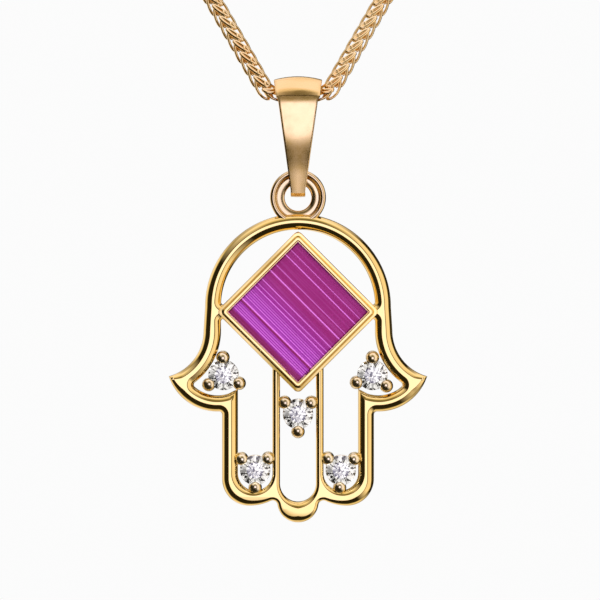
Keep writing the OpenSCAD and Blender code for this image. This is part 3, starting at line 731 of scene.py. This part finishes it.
def bail_stations():
    """Inside and outside of the strip as pairs of (y, z), from the crest down the front and up the back."""
    pairs = []
    cap = [math.radians(a) for a in range(90, CAP_END - 1, -ARC_STEP)]
    cap += [math.asin((z - TOP_Z) / TOP_R) for z in (CREASE_Z, CREASE_END)]
    for a in cap:
        z = TOP_Z + TOP_R * math.sin(a)
        r = TOP_R + lookup(z, BAIL_WALLS)
        pairs.append(((-TOP_R * math.cos(a), z), (-r * math.cos(a), TOP_Z + r * math.sin(a))))
    y, z = pairs[-1][1]
    fall = (z - LOW_Z) / STRIP_STEPS
    for k in range(1, STRIP_STEPS + 1):
        t = k / STRIP_STEPS
        y += fall * math.tan(math.radians(lookup(t - 0.5 / STRIP_STEPS, BAIL_TILTS)))
        z -= fall
        pairs.append(((-lookup(t, [(0, TOP_R), (1, LOW_R)]), z), (y, z)))
    low = LOW_R + lookup(FOOT_IN, BAIL_WALLS)
    lean = math.tan(math.radians(BAIL_TILTS[-1][1]))
    for a in range(ARC_STEP, 90, ARC_STEP):
        c = math.radians(a)
        fall = low * lookup(a, FOOT_FALLS)
        outside = ((y + lean * fall) * lookup(a, FOOT_DEPTHS), LOW_Z - fall)
        pairs.append(((-LOW_R * math.cos(c), LOW_Z - LOW_R * math.sin(c)), outside))
    back = [((-p[0], p[1]), (-q[0], q[1])) for p, q in reversed(pairs[1:])]
    return pairs + [((0.0, FOOT_IN), (0.0, LOW_Z - low))] + back


def bail_strip():
    """The bail's strip with its crowned outside."""
    shape = Shape()
    rings = []
    for (y, z), outer in bail_stations():
        w = lookup(outer[1], BAIL_WIDTHS) / 2
        crown = lookup(z, BAIL_CROWNS)
        wall = math.hypot(outer[0] - y, outer[1] - z)
        out = ((outer[0] - y) / wall, (outer[1] - z) / wall)
        ring = [(-w + INNER_INSET, 0.0), (w - INNER_INSET, 0.0)]
        ring += [(w * x, wall - crown * x * x - drop) for x, drop in ACROSS]
        rings.append([HANG + Vector((x, y + out[0] * d, z + out[1] * d)) for x, d in ring])
    shape.add_rings(rings, closed=True)
    return shape


bail = make_object("bail_strip", bail_strip(), BAIL_GOLD, "bail", sharp=28, weighted=True)
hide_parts("bail")


# Chain: its route lies in a plane that leans back, as on a wearer's chest

CHAIN_LEN = 450.0
NECK_R = 54.0
LEAN = math.radians(36)
PLANE_FRONT = Vector((0, -math.cos(LEAN), math.sin(LEAN)))
BEND_R = 0.75
BAIL_CLEARANCE = 0.3
CORNER_X = TOP_W / 2 + BAIL_CLEARANCE
CLASP_LEN, CLASP_SOCKET = 7.0, 0.8
CHAIN_END_GAP = 0.015
# First guess and rounds of Newton's method in solve_drop.
FIRST_DROP = CHAIN_LEN * 0.3
DROP_ROUNDS = 8
# Steps of the route inside the bail, round the bend beside it, along the strand and round the neck.
BAIL_STEPS, BEND_STEPS, STRAND_STEPS, NECK_STEPS = 10, 12, 60, 160


def solve_drop():
    """How far below the neck's middle the strands would meet, so that the chain has its length."""
    d = FIRST_DROP
    for _ in range(DROP_ROUNDS):
        strand = math.sqrt(d * d - NECK_R ** 2)
        length = strand + NECK_R * (math.pi - math.acos(NECK_R / d))
        d -= (length - CHAIN_LEN / 2) * d / strand
    return d


def half_route():
    """Right half of the chain's centre line in its own plane, from the bail to the clasp, in fine steps."""
    drop = solve_drop()
    strand = math.asin(NECK_R / drop)
    level = drop - CORNER_X / math.tan(strand)
    turn_by = math.pi / 2 - strand
    bend_x = CORNER_X - BEND_R * math.tan(turn_by / 2)
    pts = [Vector((bend_x * k / BAIL_STEPS, level)) for k in range(BAIL_STEPS)]
    for k in range(BEND_STEPS + 1):
        a = turn_by * k / BEND_STEPS
        pts.append(Vector((bend_x + BEND_R * math.sin(a), level - BEND_R * (1 - math.cos(a)))))
    end = pts[-1]
    touch = NECK_R * Vector((math.cos(strand), math.sin(strand)))
    pts += [end + (touch - end) * k / STRAND_STEPS for k in range(1, STRAND_STEPS)]
    stop = math.asin((CLASP_LEN / 2 - CLASP_SOCKET + CHAIN_END_GAP) / NECK_R)
    sweep = strand + math.pi / 2 - stop
    for k in range(NECK_STEPS + 1):
        a = strand - sweep * k / NECK_STEPS
        pts.append(NECK_R * Vector((math.cos(a), math.sin(a))))
    return pts


right = half_route()
route = [Vector((-p[0], p[1])) for p in reversed(right[1:])] + right
dist = [0.0]
for p, q in zip(route, route[1:]):
    dist.append(dist[-1] + (q - p).length)


def at(s):
    """Place and direction in the chain's plane at a distance along its route."""
    s = min(max(s, 0.0), dist[-1])
    lo, hi = 0, len(dist) - 1
    while hi - lo > 1:
        mid = (lo + hi) // 2
        lo, hi = (mid, hi) if dist[mid] <= s else (lo, mid)
    t = (s - dist[lo]) / (dist[hi] - dist[lo])
    return route[lo].lerp(route[hi], t), (route[hi] - route[lo]).normalized()


def in_space(p):
    """From the chain's plane to the frame."""
    return Vector((p[0], -p[1] * math.sin(LEAN), -p[1] * math.cos(LEAN)))


LINK_PITCH = 0.835
LINK_STEPS = 20
LINK_SIDES = 6
# Rings of one repeat: place along it, offset to the outer side, depth towards the front, half length,
# half width, turn in the chain's plane and tilt out of it in degrees, and the wire's radius.
RINGS = [(0.0, 0.215, 0.0, 0.56, 0.165, 8, 19, 0.072), (0.5, -0.215, 0.0, 0.56, 0.165, -8, 19, 0.072),
         (0.22, 0.0, 0.15, 0.48, 0.095, -28, 8, 0.09), (0.72, 0.0, -0.05, 0.44, 0.08, 20, 12, 0.07)]
MIDDLE = dist[-1] / 2
LINK_START = LINK_PITCH / 4
LINKS = int((MIDDLE - 2 * LINK_START) / LINK_PITCH)


def wire(points, radius):
    """Rings of points round a closed line of wire."""
    rings = []
    for i, p in enumerate(points):
        way = (points[(i + 1) % len(points)] - points[i - 1]).normalized()
        side = way.cross(PLANE_FRONT).normalized()
        up = side.cross(way).normalized()
        angles = [2 * math.pi * k / LINK_SIDES for k in range(LINK_SIDES)]
        rings.append([p + radius * (math.cos(a) * side + math.sin(a) * up) for a in angles])
    return rings


def link_line(side, repeat, row):
    """Middle line of one wire ring of a repeat, which is counted from the bail."""
    phase, offset, front, long_r, wide_r, turned, tilt, _ = row
    s0 = LINK_START + (repeat + phase) * LINK_PITCH
    t, out = math.radians(turned), math.radians(tilt)
    pts = []
    for k in range(LINK_STEPS):
        a = 2 * math.pi * k / LINK_STEPS
        u, v = long_r * math.cos(a), wide_r * math.sin(a)
        along = (u * math.cos(t) - v * math.sin(t)) * math.cos(out)
        across = offset + u * math.sin(t) + v * math.cos(t)
        p, way = at(MIDDLE + side * (s0 - along))
        depth = front - u * math.sin(out)
        pts.append(in_space(p + Vector((-way[1], way[0])) * across) + PLANE_FRONT * depth)
    return pts


def chain_links(name, side, first, last):
    """Wire rings of a stretch of the chain on one side (1 is the viewer's right)."""
    shape = Shape()
    for i in range(first, last):
        for row in RINGS:
            shape.add_rings(wire(link_line(side, i, row), row[-1]), closed=True)
    piece = make_object(name, shape, CHAIN_GOLD, "necklace", sharp=80)
    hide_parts("chain")


for side_name, side in (("left", -1), ("right", 1)):
    for k, (first, last) in enumerate(((0, LINKS // 2), (LINKS // 2, LINKS))):
        chain_links("chain_%s_%d" % (side_name, k), side, first, last)


# Stones, panel and clasp

STONE_NODES = ("thumb_stone_left", "thumb_stone_right", "middle_stone", "finger_stone_left",
               "finger_stone_right")
STONE_TINT_SCALE = 1500.0
STONE_IOR = 2.1


def stone_material():
    """Clear stone of a high lustre, very slightly warm."""
    mat, tree, shader = new_material("stone_clear")
    shader.inputs["Roughness"].default_value = 0.0
    shader.inputs["IOR"].default_value = STONE_IOR
    shader.inputs["Transmission Weight"].default_value = 1.0
    tint = tree.remap(tree.noise(STONE_TINT_SCALE), 0.0, 1.0)
    tree.put(tree.blend(tint, (1.0, 0.98, 0.95, 1), (0.95, 0.91, 0.86, 1)), shader.inputs["Base Color"])
    return mat


MAGENTA = (0.275, 0.011, 0.155, 1)
VIOLET = (0.29, 0.021, 0.34, 1)
DEEP = (0.22, 0.008, 0.10, 1)
LIGHT = (0.80, 0.22, 0.85, 1)
# Places on the panel are shares of the way from its upper right side to its lower left side.
# Single light lines: place, half width and strength.
STRIPE_LINES = [(0.11, 0.006, 0.55), (0.18, 0.007, 0.8), (0.32, 0.006, 0.5), (0.40, 0.009, 0.8),
                (0.52, 0.007, 0.7), (0.58, 0.006, 0.6), (0.62, 0.007, 0.75), (0.80, 0.010, 0.9),
                (0.917, 0.007, 0.7), (0.0, 0.014, 0.6), (1.0, 0.014, 0.8)]
LINE_CORE = 0.45
# Fields of dense light lines: start, end, lines on the whole way, and strength.
LINE_FIELDS = [(0.64, 0.80, 44.0, 0.9), (0.84, 0.91, 46.0, 0.85)]
FIELD_EASE = 0.01
# The range of a line's sine wave that is light, and the uneven strength of the lines.
WAVE_RANGE = (-0.3, 1.0)
UNEVEN_SCALE, UNEVEN_LOW, UNEVEN_RANGE = 60.0, 0.15, (0.38, 0.62)
# Fine grain: its scales over and along the stripes, its range and its strength.
GRAIN_OVER, GRAIN_ALONG, GRAIN_RANGE, GRAIN_LIGHT = 70.0, 160.0, (0.45, 0.75), 0.10
# The ground turns from magenta to violet, with a dark stripe and a dark lower left edge.
VIOLET_START, VIOLET_END = 0.45, 0.72
DARK_STRIPE = (0.80, 0.812, 0.825, 0.835)
DARK_EDGE = (0.925, 0.95)


def panel_axes(tree):
    """Share of the way over the stripes, and x less z, which grows along them."""
    low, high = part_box("panel")
    side = (high[0] - low[0]) / ROOT2
    corner = 0.5 * (low[0] + high[0]) + high[2]
    x, _, z = tree.parts(tree.coordinates("Object"))
    over = tree.calc("SUBTRACT", corner, tree.calc("ADD", x, z))
    return tree.calc("DIVIDE", over, ROOT2 * side), tree.calc("SUBTRACT", x, z)


def panel_ground(tree, t):
    """Colour under the light lines."""
    ground = tree.blend(tree.remap(t, 0.0, 1.0, VIOLET_START, VIOLET_END), MAGENTA, VIOLET)
    stripe = tree.calc("MULTIPLY", tree.remap(t, 0.0, 1.0, *DARK_STRIPE[:2]),
                       tree.remap(t, 1.0, 0.0, *DARK_STRIPE[2:]))
    dark = tree.calc("MAXIMUM", tree.remap(t, 0.0, 1.0, *DARK_EDGE), stripe)
    return tree.blend(dark, ground, DEEP)


def panel_light(tree, t, along):
    """Strength of the light grain and lines."""
    grain_at = tree.vector(tree.calc("MULTIPLY", t, GRAIN_OVER), tree.calc("MULTIPLY", along, GRAIN_ALONG))
    grain = tree.noise(1.0, 2.0, grain_at)
    light = tree.calc("MULTIPLY", tree.remap(grain, 0.0, 1.0, *GRAIN_RANGE), GRAIN_LIGHT)
    for place, half, strength in STRIPE_LINES:
        away = tree.calc("ABSOLUTE", tree.calc("SUBTRACT", t, place))
        line = tree.remap(away, strength, 0.0, half * LINE_CORE, half)
        light = tree.calc("MAXIMUM", light, line)
    uneven = tree.noise(1.0, 1.0, tree.vector(tree.calc("MULTIPLY", t, UNEVEN_SCALE)))
    uneven = tree.remap(uneven, UNEVEN_LOW, 1.0, *UNEVEN_RANGE)
    for start, stop, count, strength in LINE_FIELDS:
        wave = tree.calc("SINE", tree.calc("MULTIPLY", t, 2 * math.pi * count))
        wave = tree.calc("MULTIPLY", tree.remap(wave, 0.0, strength, *WAVE_RANGE), uneven)
        rise = tree.remap(t, 0.0, 1.0, start - FIELD_EASE, start + FIELD_EASE)
        fall = tree.remap(t, 1.0, 0.0, stop - FIELD_EASE, stop)
        wave = tree.calc("MULTIPLY", wave, tree.calc("MULTIPLY", rise, fall))
        light = tree.calc("MAXIMUM", light, wave)
    return light


def panel_material():
    """Magenta plate whose stripes run parallel to its upper right and lower left sides."""
    mat, tree, shader = new_material("panel_striped")
    t, along = panel_axes(tree)
    colour = tree.blend(panel_light(tree, t, along), panel_ground(tree, t), LIGHT)
    tree.put(colour, shader.inputs["Base Color"])
    shader.inputs["Roughness"].default_value = 0.35
    shader.inputs["Specular IOR Level"].default_value = 0.15
    shader.inputs["Coat Weight"].default_value = 0.08
    shader.inputs["Coat Roughness"].default_value = 0.05
    return mat


def set_material(node, mat):
    """Gives a CAD node one material."""
    materials = frame["nodes"][node].data.materials
    materials.clear()
    materials.append(mat)


STONE = stone_material()
for node in STONE_NODES:
    set_material(node, STONE)
for node in ("clasp", "hand_frame", "bail"):
    set_material(node, GOLD)
set_material("panel", panel_material())
set_material("chain", CHAIN_GOLD)


# Floor, light and camera, in metres

FLOOR_DROP = 0.06
FLOOR_R = 1.2
FLOOR_SIDES = 96
PALE = (0.93, 0.93, 0.93, 1)


def floor_material():
    """Dull pale paint."""
    mat, _, shader = new_material("floor_pale")
    shader.inputs["Base Color"].default_value = PALE
    shader.inputs["Roughness"].default_value = 0.9
    shader.inputs["Specular IOR Level"].default_value = 0.1
    return mat


def floor():
    """Plain pale round floor under the object, left out of the metal's reflections."""
    low, high = cad_box
    bm = bmesh.new()
    bmesh.ops.create_circle(bm, cap_ends=True, segments=FLOOR_SIDES, radius=FLOOR_R)
    mesh = bpy.data.meshes.new("floor")
    bm.to_mesh(mesh)
    bm.free()
    obj = bpy.data.objects.new("floor", mesh)
    bpy.context.scene.collection.objects.link(obj)
    obj.location = (0.5 * (low[0] + high[0]), 0.5 * (low[1] + high[1]), low[2] - FLOOR_DROP)
    obj.visible_glossy = False
    obj.visible_transmission = False
    mesh.materials.append(floor_material())


floor()

# The lamps aim at the middle of the pendant, which lies this far below the chain in millimetres.
PENDANT_MIDDLE = 10.3
AIM = Vector((0, HANG[1] * MM, (HANG[2] - PENDANT_MIDDLE) * MM))
# Name, place from the pendant's middle, width and height, and power in watts.
LAMPS = [("overhead", (0.0, 0.05, 0.8), (0.7, 0.5), 7.0),
         ("key", (0.30, -0.28, 0.36), (0.22, 0.22), 0.7),
         ("left_strip", (-0.42, -0.16, 0.10), (0.05, 0.5), 0.35)]


def area_light(name, offset, size, power):
    """Rectangular lamp aimed at the pendant, left out of its reflections."""
    light = bpy.data.lights.new(name, "AREA")
    light.shape = "RECTANGLE"
    light.size, light.size_y = size
    light.energy = power
    obj = bpy.data.objects.new(name, light)
    bpy.context.scene.collection.objects.link(obj)
    obj.location = AIM + Vector(offset)
    obj.rotation_euler = (AIM - obj.location).to_track_quat("-Z", "Y").to_euler()
    obj.visible_glossy = False


for lamp in LAMPS:
    area_light(*lamp)

# Brightness of the surroundings from straight behind the object (0) to straight behind the viewer (1).
RIGHT = [(0.0, 0.12), (0.06, 0.02), (0.42, 0.03), (0.53, 0.85), (0.72, 1.06), (0.90, 1.0), (0.930, 0.14),
         (0.965, 0.16), (0.988, 1.4), (1.0, 1.4)]
ABOVE = [(0.0, 0.10), (0.05, 0.12), (0.12, 0.95), (0.40, 1.12), (0.74, 1.12), (0.82, 0.90), (0.88, 0.25),
         (0.955, 0.16), (0.975, 0.45), (0.990, 1.4), (1.0, 1.4)]
LOWER_LEFT = [(0.0, 0.5), (0.08, 1.0), (0.28, 0.9), (0.42, 0.55), (0.52, 0.03), (0.90, 0.02),
              (0.970, 0.04), (0.985, 0.5), (0.992, 1.4), (1.0, 1.4)]
# The pattern sways from place to place, least round the viewer.
SWAY_SCALE, SWAY_RANGE, SWAY_SHARE = 2.2, (0.0, 1.0), 0.9
# Where the lower left surroundings pass into the right ones, and these into those above.
RIGHT_START, RIGHT_END = -0.25, 0.25
ABOVE_START, ABOVE_END = 0.70, 0.95
# Share of right and of up in the direction towards the upper right.
DIAGONAL = 0.7
# What shines through the stones is white with small dark patches.
PATCH_SCALE, PATCH_LOW, PATCH_HIGH, PATCH_RANGE = 4.0, 0.03, 1.25, (0.46, 0.54)
BACKDROP = (0.97, 0.97, 0.97, 1)
# Tint of the dim surroundings, and what the brightest ones gain on it, from one brightness to another.
DIM_TINT = (1.0, 0.83, 0.50)
TINT_GAIN = (0.0, 0.12, 0.85)
GAIN_START, GAIN_SPAN = 0.8, 0.5


def tone(value):
    """Colour of a brightness: dim and middling surroundings are warm, the brightest are cool."""
    t = min(max((value - GAIN_START) / GAIN_SPAN, 0.0), 1.0)
    return (*(value * (dim + gain * t) for dim, gain in zip(DIM_TINT, TINT_GAIN)), 1)


def ramp(tree, place, table):
    """Surroundings by one table of places and brightnesses."""
    node = tree.nodes.new("ShaderNodeValToRGB")
    node.color_ramp.interpolation = "EASE"
    elements = node.color_ramp.elements
    while len(elements) < len(table):
        elements.new(0.5)
    for element, (position, _) in zip(elements, table):
        element.position = position
    for element, (_, value) in zip(elements, table):
        element.color = tone(value)
    tree.put(place, node.inputs["Fac"])
    return node.outputs["Color"]


def surroundings(tree, direction):
    """Soft studio: bright round the viewer, then a dark ring, then bright towards the upper right."""
    x, y, z = tree.parts(direction)
    front = tree.remap(y, 1.0, 0.0, -1.0, 1.0)
    sway = tree.remap(tree.noise(SWAY_SCALE, 1.0, direction), -0.5, 0.5, *SWAY_RANGE)
    room = tree.calc("MULTIPLY", tree.calc("SUBTRACT", 1.0, front), sway)
    front = tree.calc("ADD", front, tree.calc("MULTIPLY", room, SWAY_SHARE))
    # A little over 1, so that the distance from the line of sight is never 0.
    around = tree.calc("SQRT", tree.calc("SUBTRACT", 1.001, tree.calc("MULTIPLY", y, y)))
    lean = tree.calc("ADD", tree.calc("MULTIPLY", x, DIAGONAL), tree.calc("MULTIPLY", z, DIAGONAL))
    to_right = tree.remap(tree.calc("DIVIDE", lean, around), 0.0, 1.0, RIGHT_START, RIGHT_END)
    upwards = tree.remap(tree.calc("DIVIDE", z, around), 0.0, 1.0, ABOVE_START, ABOVE_END)
    sky = tree.blend(to_right, ramp(tree, front, LOWER_LEFT), ramp(tree, front, RIGHT))
    return tree.blend(upwards, sky, ramp(tree, front, ABOVE))


def sparkle(tree, direction):
    """Colour that shines through the stones from a direction."""
    patches = tree.noise(PATCH_SCALE, 1.0, direction)
    node = tree.nodes.new("ShaderNodeCombineColor")
    for socket in node.inputs[:3]:
        tree.put(tree.remap(patches, PATCH_LOW, PATCH_HIGH, *PATCH_RANGE), socket)
    return node.outputs["Color"]


def studio_world():
    """Surroundings for the metal and the stones, behind a bare pale background."""
    world = bpy.data.worlds.new("studio")
    bpy.context.scene.world = world
    tree = NodeTree(world)
    direction = tree.coordinates("Generated")
    path = tree.nodes.new("ShaderNodeLightPath").outputs
    sky = tree.blend(path["Is Transmission Ray"], surroundings(tree, direction), sparkle(tree, direction))
    background = tree.nodes["Background"]
    tree.put(tree.blend(path["Is Camera Ray"], sky, BACKDROP), background.inputs["Color"])
    background.inputs["Strength"].default_value = 1.0


studio_world()

# A pixel of the photo in metres, the photo's width and height in pixels, and where the bail hangs in it.
PIXEL = 0.00005
PICTURE = 600
HANG_COLUMN, HANG_ROW = 298, 93.5
DISTANCE = 0.40
CLIP_START = 0.01
SENSOR = 36

camera_data = bpy.data.cameras.new("camera")
camera_data.sensor_width = SENSOR
camera_data.lens = SENSOR * DISTANCE / (PICTURE * PIXEL)
camera_data.clip_start = CLIP_START
camera = bpy.data.objects.new("camera", camera_data)
bpy.context.scene.collection.objects.link(camera)
camera.location = ((PICTURE / 2 - HANG_COLUMN) * PIXEL, (HANG[1] - FRONT) * MM - DISTANCE,
                   HANG[2] * MM - (PICTURE / 2 - HANG_ROW) * PIXEL)
camera.rotation_euler = (math.radians(90), 0, 0)
bpy.context.scene.camera = camera
bpy.context.scene.view_settings.view_transform = "Standard"
